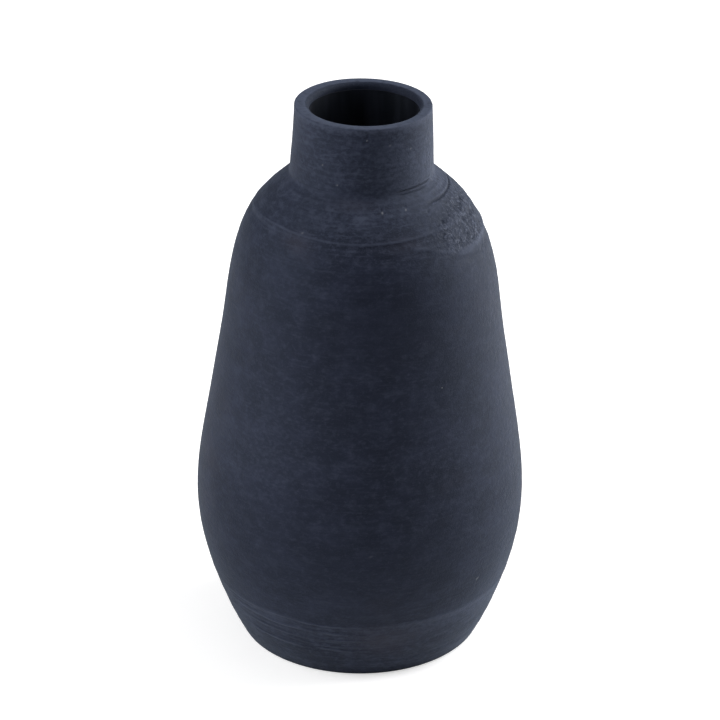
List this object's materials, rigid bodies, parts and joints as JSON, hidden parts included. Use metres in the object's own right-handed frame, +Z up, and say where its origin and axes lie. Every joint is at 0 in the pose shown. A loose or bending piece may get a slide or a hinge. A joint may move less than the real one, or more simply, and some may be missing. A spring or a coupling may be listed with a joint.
{
  "type": "stoneware vase",
  "caption": "Wheel-thrown blue-black stoneware vase: flat foot, full low belly, long taper, rounded shoulder and short cylindrical neck with a flat rim.",
  "frame": {"origin": "on the table under the middle of the foot", "axes": "+Z up along the vase's axis; the vase is round, so +X and +Y are free, and the front is taken as -Y"},
  "size_m": [0.1448, 0.1448, 0.25],
  "materials": {
    "stoneware_clay": "matte blue-black unglazed stoneware, burnished a little on the neck",
    "fired_slip": "matte fired slip, a shade lighter than the clay",
    "liner_glaze": "dark satin liner glaze"
  },
  "bodies": {
    "root": {"foot": "stoneware_clay", "foot_slip_seam": "fired_slip", "belly": "stoneware_clay", "shoulder_slip_seam": "fired_slip", "shoulder": "stoneware_clay", "neck_slip_seam": "fired_slip", "neck": "stoneware_clay", "neck_coil": "stoneware_clay", "inner_glaze": "liner_glaze"}
  },
  "joints": []
}
